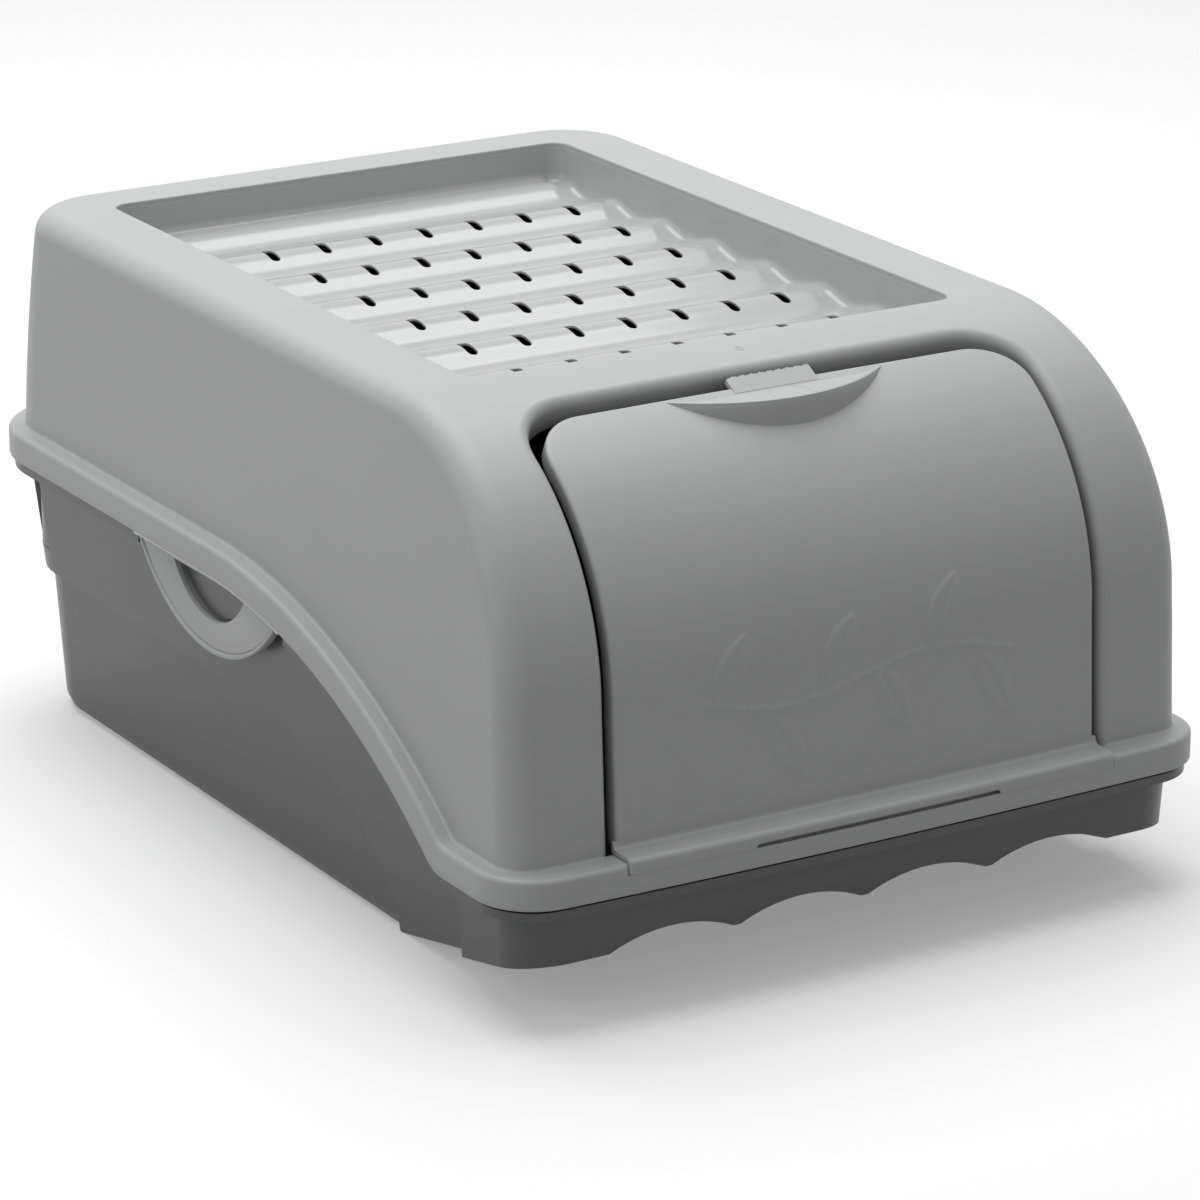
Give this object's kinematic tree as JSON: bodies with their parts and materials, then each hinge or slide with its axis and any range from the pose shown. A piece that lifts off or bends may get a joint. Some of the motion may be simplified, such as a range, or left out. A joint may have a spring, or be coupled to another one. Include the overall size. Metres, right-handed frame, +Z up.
{
  "type": "storage bin",
  "caption": "Grey plastic potato storage bin: a dark tub under a light hood with a corrugated vented top, a drop-down front hatch and two side latches that swing out.",
  "frame": {"origin": "Middle of the footprint's bounding box, on the surface that the bin stands on", "axes": "+X right seen from the front hatch, -Y front, +Z up"},
  "size_m": [0.29, 0.4154, 0.1975],
  "materials": {
    "hood_plastic": "fine-textured grey polypropylene",
    "vent_plastic": "polished grey polypropylene",
    "tub_plastic": "satin dark grey polypropylene"
  },
  "bodies": {
    "tub": {"base_tub": "tub_plastic"},
    "hood": {"hood": "hood_plastic", "vent_tray": "vent_plastic"},
    "flap": {"front_flap": "hood_plastic"},
    "left_latch": {"latch_left": "hood_plastic"},
    "right_latch": {"latch_right": "hood_plastic"}
  },
  "joints": [
    {"name": "hood_lift", "type": "slide", "parent": "tub", "child": "hood", "axis": [0, 0, 1], "range_m": [0, 0.2]},
    {"name": "flap_hinge", "type": "hinge", "parent": "hood", "child": "flap", "pos_m": [0, -0.2077, 0.0519], "axis": [1, 0, 0], "range_deg": [0, 115]},
    {"name": "latch_left_hinge", "type": "hinge", "parent": "hood", "child": "left_latch", "pos_m": [-0.145, 0.0123, 0.1031], "axis": [0, 1, 0], "range_deg": [0, 95]},
    {"name": "latch_right_hinge", "type": "hinge", "parent": "hood", "child": "right_latch", "pos_m": [0.145, 0.0123, 0.1031], "axis": [0, -1, 0], "range_deg": [0, 95]}
  ]
}
